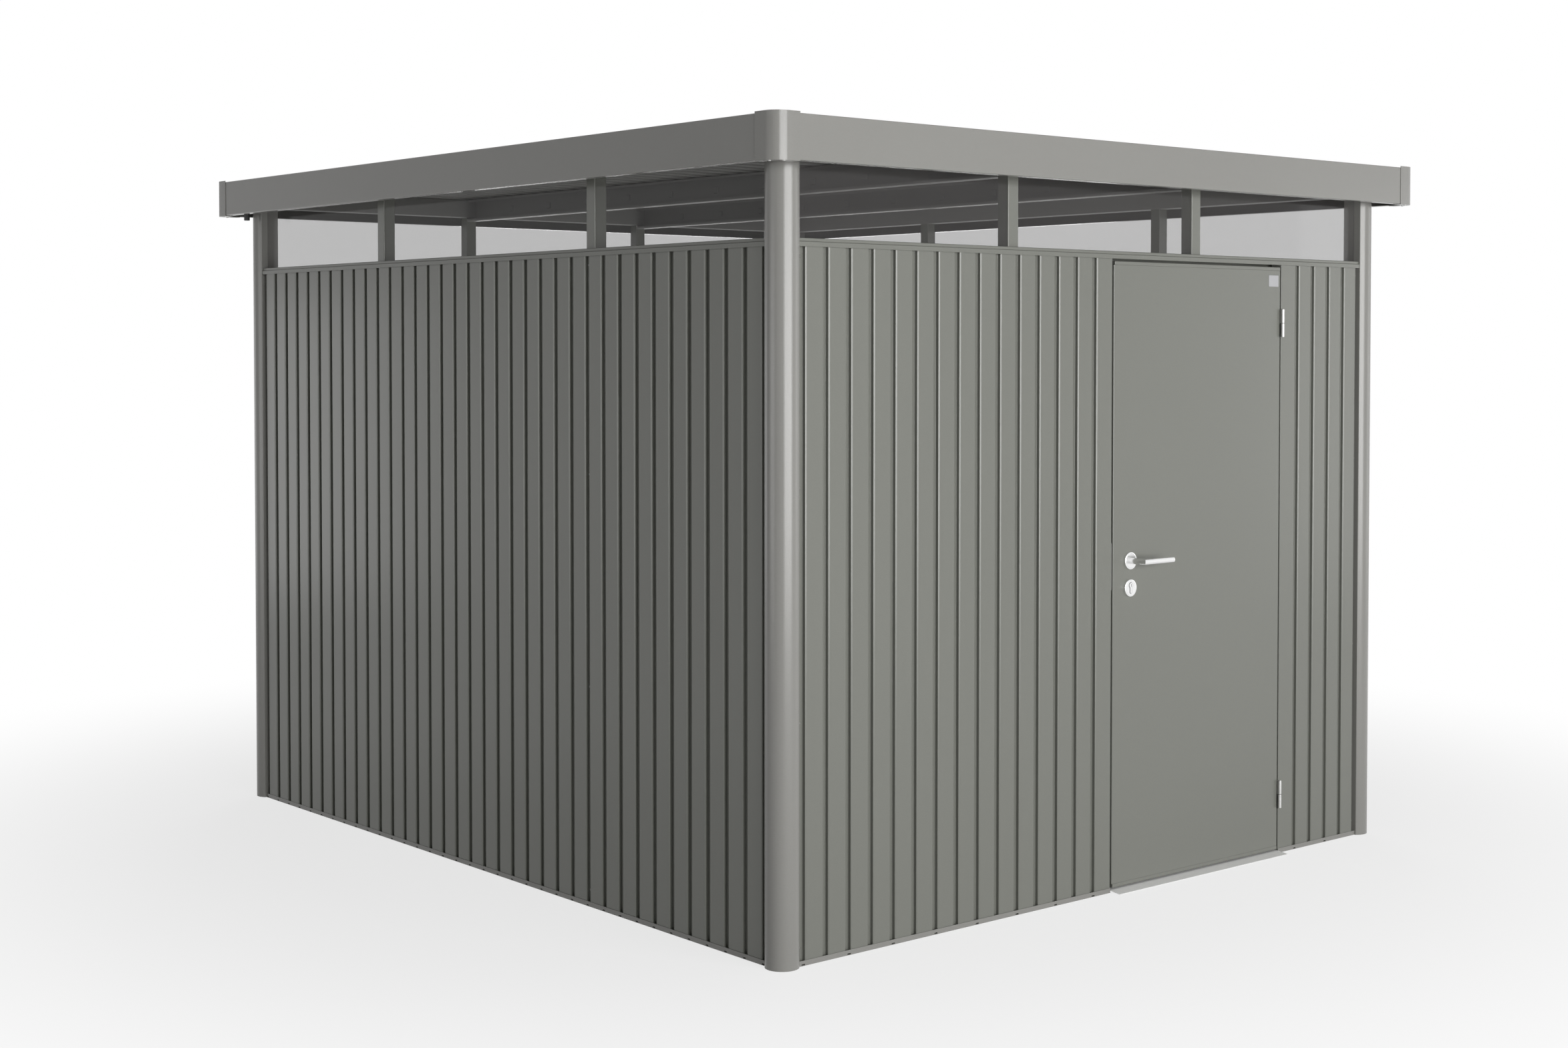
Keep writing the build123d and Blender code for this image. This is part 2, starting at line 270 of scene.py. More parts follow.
def front_groove(index):
    """Place of a groove's centre along the front wall."""
    return bay(index) + front_shift


# Outlines: rounded paths and sheets of an even thickness
def rounded(points, radii, closed=False):
    """Path through the points, each corner turned on its own radius."""
    path = []
    last = len(points) - 1
    for index, point in enumerate(points):
        radius = radii[index]
        if radius == 0 or (not closed and index in (0, last)):
            path.append(Vector(point))
            continue
        here = Vector(point)
        into = (here - Vector(points[index - 1])).normalized()
        out = (Vector(points[(index + 1) % len(points)]) - here).normalized()
        turn = math.atan2(into.x * out.y - into.y * out.x, into.dot(out))
        start = here - into * radius * math.tan(abs(turn) / 2)
        side = math.copysign(radius, turn)
        centre = start + Vector((-into.y, into.x)) * side
        arm = start - centre
        steps = max(2, math.ceil(abs(turn) / bend_step))
        for step in range(steps + 1):
            angle = turn * step / steps
            swing = Vector((
                arm.x * math.cos(angle) - arm.y * math.sin(angle),
                arm.x * math.sin(angle) + arm.y * math.cos(angle),
            ))
            path.append(centre + swing)
    return path


def offset(path, distance, closed=False):
    """The path moved to its left by an even distance."""
    moved = []
    count = len(path)
    for index, point in enumerate(path):
        before = path[index - 1] if closed or index > 0 else None
        after = path[(index + 1) % count] if closed or index < count - 1 else None
        ways = []
        if before is not None:
            ways.append((point - before).normalized())
        if after is not None:
            ways.append((after - point).normalized())
        normals = [Vector((-way.y, way.x)) for way in ways]
        if len(normals) == 1:
            normals *= 2
        total = normals[0] + normals[1]
        moved.append(point + total * distance / (1 + normals[0].dot(normals[1])))
    return moved


def upright(u, v, t):
    """A section drawn along and into the wall, swept upward."""
    return (u, v, t)


def lengthwise(u, v, t):
    """A section drawn inward and up, swept along the wall."""
    return (t, u, v)


def crosswise(u, v, t):
    """A section drawn along the wall and up, swept inward."""
    return (u, t, v)


# Shapes: points in a wall's frame, and the faces between them
def sheet_shape(path, thickness, start, end, sweep, closed=False):
    """Folded sheet or tube: a path and its offset, swept from start to end."""
    second = offset(path, thickness, closed)
    count = len(path)
    ring = 2 * count
    points = [sweep(p.x, p.y, t) for t in (start, end) for p in path + second]
    faces = []
    for i in range(count if closed else count - 1):
        j = (i + 1) % count
        faces.append((i, j, ring + j, ring + i))
        faces.append((count + i, ring + count + i, ring + count + j, count + j))
        for level in (0, ring):
            faces.append((level + i, level + count + i, level + count + j, level + j))
    if not closed:
        far = count - 1
        faces.append((0, ring, ring + count, count))
        faces.append((far, count + far, ring + count + far, ring + far))
    return points, faces


def slab_shape(outline, start, end, sweep, bevel):
    """Solid on a closed convex outline, with bevelled rims."""
    small = offset(outline, bevel, True)
    count = len(outline)
    levels = [(small, start), (outline, start + bevel), (outline, end - bevel), (small, end)]
    points = [sweep(p.x, p.y, t) for ring, t in levels for p in ring]
    faces = [tuple(range(count)), tuple(range(3 * count, 4 * count))]
    for level in range(3):
        for i in range(count):
            j = (i + 1) % count
            low = level * count
            faces.append((low + i, low + j, low + count + j, low + count + i))
    return points, faces


def box_outline(low, high, radius):
    """Rectangle with rounded corners, counter-clockwise."""
    points = [(low[0], low[1]), (high[0], low[1]), (high[0], high[1]), (low[0], high[1])]
    return rounded(points, [radius] * 4, True)


def turned_shape(profile, centre, axis):
    """Round solid: a profile of radius and reach along an axis, 'd' inward or 'z' up."""
    points = []
    faces = []
    rings = []
    for radius, reach in profile:
        if radius == 0:
            rings.append([len(points)])
            angles = [0]
        else:
            rings.append(list(range(len(points), len(points) + round_steps)))
            angles = [2 * math.pi * k / round_steps for k in range(round_steps)]
        for angle in angles:
            across = radius * math.cos(angle)
            beside = radius * math.sin(angle)
            if axis == "d":
                points.append((centre[0] + across, centre[1] + reach, centre[2] + beside))
            else:
                points.append((centre[0] + across, centre[1] + beside, centre[2] + reach))
    for first, second in zip(rings, rings[1:]):
        for k in range(round_steps):
            n = (k + 1) % round_steps
            a = first[k % len(first)]
            b = first[n % len(first)]
            c = second[n % len(second)]
            d = second[k % len(second)]
            faces.append(tuple(dict.fromkeys((a, b, c, d))))
    return points, faces


def plate_shape(us, vs, holes, start, end, sweep):
    """Plate on a grid of lines, with some of its cells left open."""
    rows = len(vs)
    side = len(us) * rows
    points = [sweep(u, v, t) for t in (start, end) for u in us for v in vs]
    faces = []

    def solid(i, j):
        inside = 0 <= i < len(us) - 1 and 0 <= j < rows - 1
        return inside and (i, j) not in holes

    for i in range(len(us) - 1):
        for j in range(rows - 1):
            if not solid(i, j):
                continue
            a = i * rows + j
            b = a + rows
            faces.append((a, b, b + 1, a + 1))
            faces.append((side + a, side + a + 1, side + b + 1, side + b))
            edges = [
                ((i - 1, j), a, a + 1),
                ((i + 1, j), b, b + 1),
                ((i, j - 1), a, b),
                ((i, j + 1), a + 1, b + 1),
            ]
            for cell, p, q in edges:
                if not solid(*cell):
                    faces.append((p, q, side + q, side + p))
    used = sorted({index for one in faces for index in one})
    order = {index: k for k, index in enumerate(used)}
    return [points[index] for index in used], [tuple(order[index] for index in one) for one in faces]


def on_wall(name, shape):
    """A shape's points carried from a wall's frame into the part's frame."""
    origin, along, inward = walls[name]
    points, faces = shape
    moved = [origin + along * s + inward * d + Vector((0, 0, z)) for s, d, z in points]
    return moved, faces


def soften(mesh, crease):
    """Smooth shading across soft bends, weighted by area so that the flats beside them stay flat."""
    limit = math.cos(math.radians(crease))
    meeting = [[] for _ in mesh.vertices]
    flats = [(one.normal.copy(), one.area) for one in mesh.polygons]
    for one in mesh.polygons:
        for index in one.vertices:
            meeting[index].append(one.index)
    normals = []
    for one in mesh.polygons:
        for index in one.vertices:
            near = [flats[other] for other in meeting[index] if flats[other][0].dot(one.normal) > limit]
            normals.append(sum((normal * area for normal, area in near), Vector()).normalized())
    mesh.polygons.foreach_set("use_smooth", [True] * len(mesh.polygons))
    mesh.normals_split_custom_set(normals)


def piece(name, shapes, finish, body, nodes=(), crease=32):
    """One mesh object from several shapes, riding on a body and standing for CAD nodes."""
    points = []
    faces = []
    for some_points, some_faces in shapes:
        base = len(points)
        points += some_points
        faces += [tuple(base + index for index in one) for one in some_faces]
    mesh = bpy.data.meshes.new(name)
    mesh.from_pydata(points, [], faces)
    work = bmesh.new()
    work.from_mesh(mesh)
    bmesh.ops.recalc_face_normals(work, faces=work.faces)
    work.to_mesh(mesh)
    work.free()
    soften(mesh, crease)
    mesh.materials.append(finish)
    made = bpy.data.objects.new(name, mesh)
    bpy.context.collection.objects.link(made)
    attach(made, body)
    if nodes:
        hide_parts(*nodes)
    return made


# Finishes
def new_material(name):
    """Empty node material with its principled shader, texture coordinates and links."""
    made = bpy.data.materials.new(name)
    made.use_nodes = True
    tree = made.node_tree
    shader = tree.nodes["Principled BSDF"]
    spots = tree.nodes.new("ShaderNodeTexCoord")
    return made, tree, shader, spots.outputs["Object"]


def noise(tree, spots, scale, detail, stretch=(1, 1, 1)):
    """Noise over the part's own coordinates, drawn out along chosen axes."""
    mapping = tree.nodes.new("ShaderNodeMapping")
    mapping.inputs["Scale"].default_value = stretch
    texture = tree.nodes.new("ShaderNodeTexNoise")
    texture.inputs["Scale"].default_value = scale
    texture.inputs["Detail"].default_value = detail
    tree.links.new(spots, mapping.inputs["Vector"])
    tree.links.new(mapping.outputs["Vector"], texture.inputs["Vector"])
    return texture.outputs["Fac"]


def spread(tree, value, low, high):
    """A noise value carried from its middle range to a range of its own."""
    node = tree.nodes.new("ShaderNodeMapRange")
    node.clamp = False
    node.inputs["From Min"].default_value = 0.3
    node.inputs["From Max"].default_value = 0.7
    node.inputs["To Min"].default_value = low
    node.inputs["To Max"].default_value = high
    tree.links.new(value, node.inputs["Value"])
    return node.outputs["Result"]


def tinted(tree, colour, factor):
    """A colour made lighter and darker by a factor near one."""
    node = tree.nodes.new("ShaderNodeMix")
    node.data_type = "RGBA"
    node.blend_type = "MULTIPLY"
    node.inputs["Factor"].default_value = 1
    node.inputs["A"].default_value = (*colour, 1)
    tree.links.new(factor, node.inputs["B"])
    return node.outputs["Result"]


def bumped(tree, shader, value, strength, distance):
    """A fine relief on the shader."""
    node = tree.nodes.new("ShaderNodeBump")
    node.inputs["Strength"].default_value = strength
    node.inputs["Distance"].default_value = distance
    tree.links.new(value, node.inputs["Height"])
    tree.links.new(node.outputs["Normal"], shader.inputs["Normal"])


def painted(name, colour, roughness, gloss=0.5):
    """Satin paint with fine flakes, a faint clouding and a faint orange peel."""
    made, tree, shader, spots = new_material(name)
    flakes = noise(tree, spots, 900, 1)
    clouds = noise(tree, spots, 1.3, 1)
    peel = noise(tree, spots, 260, 2)
    both = tree.nodes.new("ShaderNodeMath")
    both.operation = "MULTIPLY"
    tree.links.new(spread(tree, flakes, 0.95, 1.05), both.inputs[0])
    tree.links.new(spread(tree, clouds, 0.99, 1.01), both.inputs[1])
    tree.links.new(tinted(tree, colour, both.outputs["Value"]), shader.inputs["Base Color"])
    shader.inputs["Roughness"].default_value = roughness
    shader.inputs["Specular IOR Level"].default_value = gloss
    bumped(tree, shader, peel, 0.04, 0.0006)
    return made


def metal(name, colour, roughness, stretch, bareness=1):
    """Bare metal with brush lines drawn out along one axis."""
    made, tree, shader, spots = new_material(name)
    lines = noise(tree, spots, 1500, 1, stretch)
    shader.inputs["Metallic"].default_value = bareness
    tree.links.new(tinted(tree, colour, spread(tree, lines, 0.97, 1.03)), shader.inputs["Base Color"])
    tree.links.new(spread(tree, lines, roughness - 0.03, roughness + 0.03), shader.inputs["Roughness"])
    bumped(tree, shader, lines, 0.02, 0.0002)
    return made


def plastic(name, colour, roughness):
    """Moulded plastic with a fine grain."""
    made, tree, shader, spots = new_material(name)
    grain = noise(tree, spots, 600, 2)
    tree.links.new(tinted(tree, colour, spread(tree, grain, 0.9, 1.1)), shader.inputs["Base Color"])
    tree.links.new(spread(tree, grain, roughness - 0.04, roughness + 0.04), shader.inputs["Roughness"])
    bumped(tree, shader, grain, 0.05, 0.0004)
    return made


def clear(name, colour, cover):
    """Clear sheet that lets most light through and mirrors a little."""
    made, tree, shader, spots = new_material(name)
    ripple = noise(tree, spots, 2.2, 2)
    tree.links.new(tinted(tree, colour, spread(tree, ripple, 0.98, 1.02)), shader.inputs["Base Color"])
    tree.links.new(spread(tree, ripple, 0.03, 0.05), shader.inputs["Roughness"])
    shader.inputs["Alpha"].default_value = cover
    return made


wall_paint = painted("wall_paint", (0.172, 0.176, 0.156), 0.25)
post_paint = painted("post_paint", (0.240, 0.237, 0.222), 0.23)
roof_paint = painted("roof_paint", (0.215, 0.215, 0.205), 0.40)
clear_pane = clear("clear_pane", (0.085, 0.080, 0.080), 0.18)
bare_aluminium = metal("bare_aluminium", (0.90, 0.90, 0.89), 0.50, (0.03, 1, 1), 0.15)
bright_steel = metal("bright_steel", (0.84, 0.84, 0.84), 0.22, (1, 1, 0.05))
zinc = metal("zinc", (0.46, 0.46, 0.45), 0.34, (1, 1, 0.05))
plate_metal = metal("plate_metal", (0.39, 0.39, 0.40), 0.60, (0.05, 1, 1))
# Black plastic for the rain outlet; the same black also paints the shade in the lock's gap and keyhole.
black_plastic = plastic("black_plastic", (0.020, 0.020, 0.020), 0.55)


# Ribbed wall sheets
lip_radii = [fold_bend, fold_bend, lip_bend]


def lip_points(centre, side):
    """Groove edge, from its floor out to the wall's face, on the groove's left (-1) or right (1)."""
    mouth = centre + side * mouth_half
    flank = mouth - side * lip_run
    return [(flank, floor_depth), (flank, face + lip_drop), (mouth, face)]


def panel_shape(first, last, count, groove):
    """Ribbed sheet between two grooves, lapping to the posts at the wall's ends."""
    length = count * pitch + 2 * corner_inset
    start = frame_start if first == 0 else groove(first) + seat_gap
    end = length - frame_start if last == count else groove(last) - seat_gap
    points = [(start, floor_depth)]
    radii = [0]
    for index in range(first, last):
        points += lip_points(groove(index), 1) + lip_points(groove(index + 1), -1)[::-1]
        radii += lip_radii + lip_radii[::-1]
    points.append((end, floor_depth))
    radii.append(0)
    return sheet_shape(rounded(points, radii), sheet, panel_low, panel_high, upright)


def jamb_shape(left):
    """Flat wall strip beside the doorway, folded in along it."""
    side = 1 if left else -1
    groove = front_groove(door_grooves[0] if left else door_grooves[1])
    edge = door_left if left else door_right
    points = [(groove + side * seat_gap, floor_depth)] + lip_points(groove, side)
    points += [(edge, face), (edge, jamb_depth)]
    path = rounded(points, [0] + lip_radii + [fold_bend, 0])
    return sheet_shape(path, side * sheet, panel_low, panel_high, upright)


for name in ("right", "back", "left"):
    seams = (0, *window_bays[name], bays[name])
    sheets = [on_wall(name, panel_shape(a, b, bays[name], bay)) for a, b in zip(seams, seams[1:])]
    piece(f"{name}_wall_sheet", sheets, wall_paint, "shed", [f"{name}_wall"])
left_seams = (0, window_bays["front"][0], door_grooves[0])
right_seams = (door_grooves[1], front_bays)
for side, seams in (("left", left_seams), ("right", right_seams)):
    sheets = [on_wall("front", panel_shape(a, b, front_bays, front_groove)) for a, b in zip(seams, seams[1:])]
    piece(f"front_wall_{side}_sheet", sheets, wall_paint, "shed", [f"front_wall_{side}"])
for side in ("left", "right"):
    strip = on_wall("front", jamb_shape(side == "left"))
    piece(f"door_jamb_{side}_sheet", [strip], wall_paint, "shed", [f"door_jamb_{side}"])


# Corner posts
def post_path():
    """Round outer skin and two flat sides, counter-clockwise."""
    front = post_centre - math.sqrt(post_radius ** 2 - (post_side - post_centre) ** 2)
    start = math.atan2(post_side - post_centre, front - post_centre)
    end = math.atan2(front - post_centre, post_side - post_centre) + 2 * math.pi
    points = []
    for step in range(round_steps + 1):
        angle = start + (end - start) * step / round_steps
        across = post_centre + post_radius * math.cos(angle)
        inward = post_centre + post_radius * math.sin(angle)
        points.append((across, inward))
    radii = [post_edge_bend] + [0] * (round_steps - 1) + [post_edge_bend]
    points.append((post_side, post_side))
    radii.append(post_edge_bend)
    return rounded(points, radii, True)


post_outline = post_path()
for name, corner in corners.items():
    skin = on_wall(name, sheet_shape(post_outline, post_wall, 0, window_top, upright, True))
    piece(f"post_{corner}", [skin], post_paint, "shed", [f"corner_post_{corner}"])


# Base rails with drain slots
def rail_shapes(start, end, slots):
    """Rail of three plates: a lip with slots, a foot and a back."""
    us = [start]
    holes = set()
    for place in slots:
        if start < place - slot_half and place + slot_half < end:
            holes.add((len(us), 1))
            us += [place - slot_half, place + slot_half]
    us.append(end)
    vs = [0, slot_low, slot_high, rail_lip]
    lip = plate_shape(us, vs, holes, 0, rail_sheet, crosswise)
    foot = [(rail_sheet, 0), (rail_width, 0), (rail_width, rail_back)]
    bent = sheet_shape(rounded(foot, [0, wide_fold, 0]), rail_sheet, start, end, lengthwise)
    return [lip, bent]


for name in walls:
    if name == "front":
        stretches = [(frame_start, door_left), (door_right, body_width - frame_start)]
        groove = front_groove
    else:
        stretches = [(frame_start, lengths[name] - frame_start)]
        groove = bay
    places = [groove(k) for k in range(0, bays[name] + 1, slot_steps[name])]
    rails = [on_wall(name, one) for a, b in stretches for one in rail_shapes(a, b, places)]
    piece(f"rail_{name}", rails, post_paint, "shed", [f"base_rail_{name}"])


# Head rails, window posts and panes
def head_path():
    """Stepped section of a head rail, from its inner edge over the shelf to its nose."""
    step = head + head_step
    points = [
        (head_shelf, head - head_drop),
        (head_shelf, sill),
        (0, sill),
        (0, step),
        (-head_nose, step),
        (-head_nose, head),
    ]
    return rounded(points, [0, wide_fold, tight_fold, nose_fold, tight_fold, 0])


for name in walls:
    length = lengths[name]
    rail = sheet_shape(head_path(), head_sheet, frame_start, length - frame_start, lengthwise)
    piece(f"head_{name}", [on_wall(name, rail)], wall_paint, "shed", [f"head_rail_{name}"])
    tubes = []
    panes = []
    starts = [frame_start]
    ends = []
    for index in window_bays[name]:
        low = bay(index) - tube_width / 2
        high = bay(index) + tube_width / 2
        outline = box_outline((low, tube_depth), (high, tube_depth + tube_width), tube_bend)
        tubes.append(on_wall(name, sheet_shape(outline, tube_wall, sill, window_top, upright, True)))
        ends.append(low - seat_gap)
        starts.append(high + seat_gap)
    ends.append(length - frame_start)
    for start, end in zip(starts, ends):
        outline = box_outline((start, pane_depth), (end, pane_depth + pane_thickness), pane_bend)
        panes.append(on_wall(name, slab_shape(outline, sill, window_top, upright, pane_bevel)))
    piece(f"tubes_{name}", tubes, wall_paint, "shed", [f"window_posts_{name}"])
    piece(f"panes_{name}", panes, clear_pane, "shed", [f"window_panes_{name}"])

# Roof edge beams, roof beams with their embossing, and the ribbed deck
edge_beams = []
for name in walls:
    inner = beam_depth + beam_width
    points = [(beam_depth, window_top), (inner, window_top), (inner, deck_level), (beam_depth, deck_level)]
    path = rounded(points, [0, wide_fold, wide_fold, 0])
    inset = beam_depth if name in ("front", "back") else inner + seat_gap
    edge_beams.append(on_wall(name, sheet_shape(path, beam_sheet, inset, lengths[name] - inset, lengthwise)))
piece("edge_channels", edge_beams, roof_paint, "shed", ["edge_beams"])

roof_beams = []
for index in window_bays["front"]:
    left = bay(index) - roof_beam_width / 2
    right = bay(index) + roof_beam_width / 2
    low = deck_level - roof_beam_height
    points = [
        (left, low + roof_beam_lip),
        (left, low),
        (right, low),
        (right, deck_level),
        (left, deck_level),
        (left, deck_level - roof_beam_lip),
    ]
    path = rounded(points, [0] + [wide_fold] * 4 + [0])
    start = beam_depth + beam_width + seat_gap
    roof_beams.append(on_wall("front", sheet_shape(path, beam_sheet, start, body_depth - start, crosswise)))
    web = right - beam_sheet
    for k in range(emboss_count):
        middle = emboss_first + k * emboss_step
        reach = emboss_size / 2
        outline = box_outline(
            (middle - reach, emboss_level - reach), (middle + reach, emboss_level + reach), wide_fold
        )
        square = slab_shape(outline, web - emboss_height, web + beam_sheet / 2, lengthwise, emboss_bevel)
        roof_beams.append(on_wall("front", square))
piece("roof_channels", roof_beams, roof_paint, "shed", ["roof_beams"])

deck_points = []
for index in range(rib_count + 1):
    start = index * rib_pitch - deck_overhang
    crest = deck_level + rib_height
    valley = deck_level + deck_sheet
    deck_points += [(start, crest), (start + rib_top, crest)]
    if index < rib_count:
        deck_points += [(start + rib_top + rib_flank, valley), (start + rib_pitch - rib_flank, valley)]
deck_path = rounded(deck_points, [wide_fold] * len(deck_points))
deck = sheet_shape(deck_path, -deck_sheet, -deck_overhang, body_width + deck_overhang, lengthwise)
piece("deck_sheet", [on_wall("front", deck)], roof_paint, "shed", ["roof_deck"])

# Fascias and their rounded corner covers
covers = []
for name in walls:
    points = [
        (fascia_top - overhang, deck_level + rib_height),
        (fascia_top - overhang, roof_top),
        (-overhang, roof_top),
        (-overhang, fascia_low),
        (fascia_return - overhang, fascia_low),
    ]
    path = rounded(points, [0, tight_fold, wide_fold, wide_fold, 0])
    end = cap_radius - overhang
    band = sheet_shape(path, fascia_sheet, end, lengths[name] - end, lengthwise)
    piece(f"fascia_{name}_band", [on_wall(name, band)], post_paint, "shed", [f"fascia_{name}"])
    outside = -overhang - cap_sheet
    arm = cap_arm - overhang
    plan = [(outside, arm), (outside, outside), (arm, outside)]
    skin_path = rounded(plan, [0, cap_radius + cap_sheet, 0])
    low = fascia_low - cap_sheet
    covers.append(on_wall(name, sheet_shape(skin_path, cap_sheet, low, roof_top + cap_rise, upright)))
    rim_path = offset(skin_path, cap_sheet)
    covers.append(on_wall(name, sheet_shape(rim_path, cap_return - cap_sheet, low, fascia_low, upright)))
piece("corner_covers", covers, post_paint, "shed", ["fascia_corners"])

# Rain outlet
valley_middle = outlet_rib * rib_pitch - deck_overhang + rib_top + (rib_pitch - rib_top) / 2
outlet_low = fascia_low - outlet_drop
pipe = [
    (outlet_radius - outlet_wall, outlet_low),
    (outlet_radius - outlet_rim, outlet_low),
    (outlet_radius, outlet_low + outlet_rim),
    (outlet_radius, deck_level),
    (outlet_radius - outlet_wall, deck_level),
    (outlet_radius - outlet_wall, outlet_low),
]
outlet = turned_shape(pipe, (body_depth - valley_middle, -outlet_inset, 0), "z")
piece("outlet_pipe", [on_wall("left", outlet)], black_plastic, "shed", ["rain_outlet"])

# Threshold and strike plate
sill_points = [
    (-threshold_reach, threshold_nose),
    (0, threshold_height),
    (rail_width, threshold_height),
    (rail_width, 0),
]
sill_path = rounded(sill_points, [0, threshold_fold, wide_fold, 0])
sill_ends = (door_left + seat_gap, door_right - seat_gap)
sill_plate = sheet_shape(sill_path, -threshold_sheet, *sill_ends, lengthwise)
sill_shapes = [on_wall("front", sill_plate)]
piece("sill_plate", sill_shapes, bare_aluminium, "shed", ["door_threshold"])
us = [face + depth for depth in (0, *strike_hole_depths, strike_width)]
vs = [strike_low + level for level in (0, *strike_hole_levels, strike_height)]
plate = plate_shape(us, vs, {(1, 1), (1, 3)}, door_left, door_left + strike_sheet, lengthwise)
piece("strike", [on_wall("front", plate)], zinc, "shed", ["strike_plate"])


# Hinges
def barrel(low, high):
    """Hinge barrel with rounded rims."""
    part = hinge_rim * rim_share
    profile = [
        (0, low),
        (hinge_radius - hinge_rim, low),
        (hinge_radius - part, low + part),
        (hinge_radius, low + hinge_rim),
        (hinge_radius, high - hinge_rim),
        (hinge_radius - part, high - part),
        (hinge_radius - hinge_rim, high),
        (0, high),
    ]
    return turned_shape(profile, (hinge_place, hinge_depth, 0), "z")


def hinge_leaf(left, low, high):
    """Flat plate from a hinge's barrel back along the door's edge or the jamb."""
    outline = box_outline((left, hinge_depth), (left + hinge_plate, hinge_plate_end), hinge_bevel)
    return slab_shape(outline, low, high, upright, hinge_bevel)


fixed_halves = []
moving_halves = []
for low in hinge_heights:
    middle = low + hinge_length / 2
    high = low + hinge_length
    fixed_halves.append(on_wall("front", barrel(low, middle - knuckle_gap / 2)))
    fixed_halves.append(on_wall("front", hinge_leaf(door_right - hinge_plate, low, middle - knuckle_gap / 2)))
    moving_halves.append(on_wall("front", barrel(middle + knuckle_gap / 2, high)))
    moving_halves.append(on_wall("front", hinge_leaf(leaf_right, middle + knuckle_gap / 2, high)))
piece("hinge_fixed", fixed_halves, zinc, "shed", ["frame_hinges"])
piece("hinge_moving", moving_halves, zinc, "door", ["door_hinges"])

# Door leaf, its strips and the blank plate
leaf_outline = box_outline((leaf_left, leaf_front), (leaf_right, leaf_back), leaf_bend)
leaf = slab_shape(leaf_outline, door_low + strip_height, door_high - strip_height, upright, leaf_bevel)
piece("leaf_skin", [on_wall("front", leaf)], wall_paint, "door", ["door_leaf"])
strips = []
for low in (door_low, door_high - strip_height):
    near = (leaf_left + strip_inset, leaf_front - strip_proud)
    far = (leaf_right - strip_inset_hinge, leaf_back)
    outline = box_outline(near, far, strip_bend)
    strips.append(on_wall("front", slab_shape(outline, low, low + strip_height, upright, strip_bevel)))
piece("leaf_strips", strips, wall_paint, "door", ["door_strips"])
blank_outline = box_outline((plate_left, plate_low), (plate_right, plate_high), plate_bend)
blank_ends = (leaf_front - plate_thickness, leaf_front + plate_sink)
blank = slab_shape(blank_outline, *blank_ends, crosswise, plate_bevel)
piece("blank_plate", [on_wall("front", blank)], plate_metal, "door")


# Round plates, lock and levers
def rose(place, height, start, end):
    """Round plate with a softened rim and a shallow line around its face."""
    way = 1 if end > start else -1
    reach = abs(end - start)
    line = rose_radius - rose_line_inset
    profile = [
        (0, start),
        (rose_radius, start),
        (rose_radius, start + way * (reach - rose_rim)),
        (rose_radius - rose_rim_in, start + way * (reach - rose_rim_drop)),
        (rose_radius - rose_rim, end),
        (line + rose_line_half, end),
        (line, end - way * rose_line_depth),
        (line - rose_line_half, end),
        (0, end),
    ]
    return turned_shape(profile, (place, 0, height), "d")


plates = []
for height in (handle_height, lock_height):
    plates.append(on_wall("front", rose(handle_place, height, leaf_front, leaf_front - rose_thickness)))
    plates.append(on_wall("front", rose(handle_place, height, leaf_back, leaf_back + rose_thickness)))
piece("roses", plates, bright_steel, "door", ["handle_plates"])


def keyhole_outline(radius, half_web, drop, steps):
    """Outline of a profile cylinder: a round plug over a narrower round-ended tail, counter-clockwise."""
    meet = math.asin(half_web / radius)
    points = []
    start = -math.pi / 2 + meet
    end = 3 * math.pi / 2 - meet
    for k in range(steps + 1):
        angle = start + (end - start) * k / steps
        points.append((radius * math.cos(angle), radius * math.sin(angle)))
    for k in range(steps // 2 + 1):
        angle = math.pi + math.pi * k / (steps // 2)
        points.append((half_web * math.cos(angle), half_web * math.sin(angle) - drop))
    return [Vector((handle_place + x, lock_height + cylinder_rise + y)) for x, y in points]


lock_outline = keyhole_outline(cylinder_radius, cylinder_web / 2, cylinder_drop, keyhole_steps)
lock_front = leaf_front - rose_thickness - cylinder_proud
lock_back = leaf_back + rose_thickness + cylinder_proud
lock = sheet_shape(lock_outline, case_wall, lock_front, lock_back, crosswise, True)
core_outline = offset(lock_outline, plug_inset, True)
core = slab_shape(core_outline, lock_front + plug_sink, lock_back - plug_sink, crosswise, plug_bevel)
lock_shapes = [on_wall("front", lock), on_wall("front", core)]
piece("lock_body", lock_shapes, bright_steel, "door", ["lock_cylinder"])
# A thin black ring round the lock cylinder, just proud of the plate, stands for the dark gap between them:
# painted shade.
gap_path = offset(lock_outline, -cylinder_gap, True)
plate_face = leaf_front - rose_thickness
gap_ends = (plate_face - gap_proud, plate_face + gap_sink)
gap_shade_ring = sheet_shape(gap_path, cylinder_gap, *gap_ends, crosswise, True)
piece("lock_gap_shade", [on_wall("front", gap_shade_ring)], black_plastic, "door")
# A black slab just proud of the plug's face stands for the dark keyhole: painted shade, not a cut slot.
key_level = lock_height + cylinder_rise
slot_outline = box_outline(
    (handle_place - key_width / 2, key_level - key_height / 2),
    (handle_place + key_width / 2, key_level + key_height / 2),
    key_bend,
)
keyway_shade = slab_shape(slot_outline, lock_front + key_sink, lock_front + key_depth, crosswise, plug_bevel)
piece("keyway_shade", [on_wall("front", keyway_shade)], black_plastic, "door")


